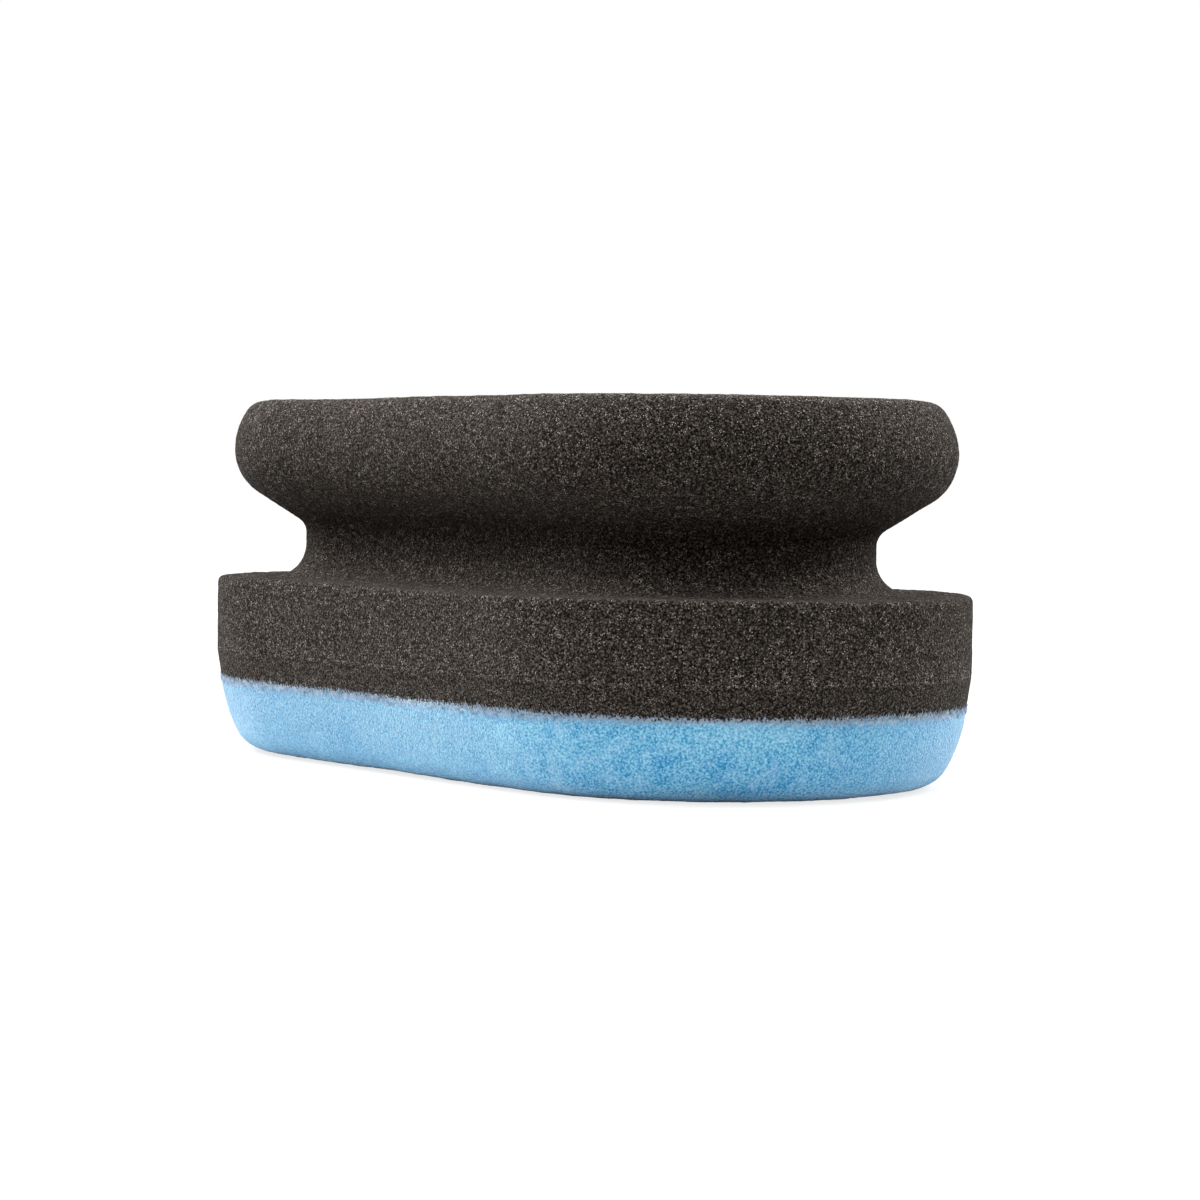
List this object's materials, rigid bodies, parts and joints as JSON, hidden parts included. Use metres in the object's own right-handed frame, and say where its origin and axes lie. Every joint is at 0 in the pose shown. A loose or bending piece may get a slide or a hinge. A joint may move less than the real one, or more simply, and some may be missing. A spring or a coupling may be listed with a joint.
{
  "type": "hand polishing puck",
  "caption": "Obround foam puck held in the palm: a black grip block with an undercut finger groove over a soft blue working pad, for spreading and buffing.",
  "frame": {"origin": "centre of the flat working face, at the object's base", "axes": "+X along the puck's length, +Y across it, +Z from the working face up to the palm face"},
  "size_m": [0.13, 0.072, 0.0516],
  "materials": {
    "firm_black_foam": "matte",
    "dark_glue": "satin",
    "backing_foam": "matte",
    "pale_glue": "satin",
    "soft_blue_foam": "matte"
  },
  "bodies": {
    "root": {"grip_block": "firm_black_foam", "grip_glue_film": "dark_glue", "backing_layer": "backing_foam", "pad_glue_film": "pale_glue", "polishing_pad": "soft_blue_foam"}
  },
  "joints": []
}
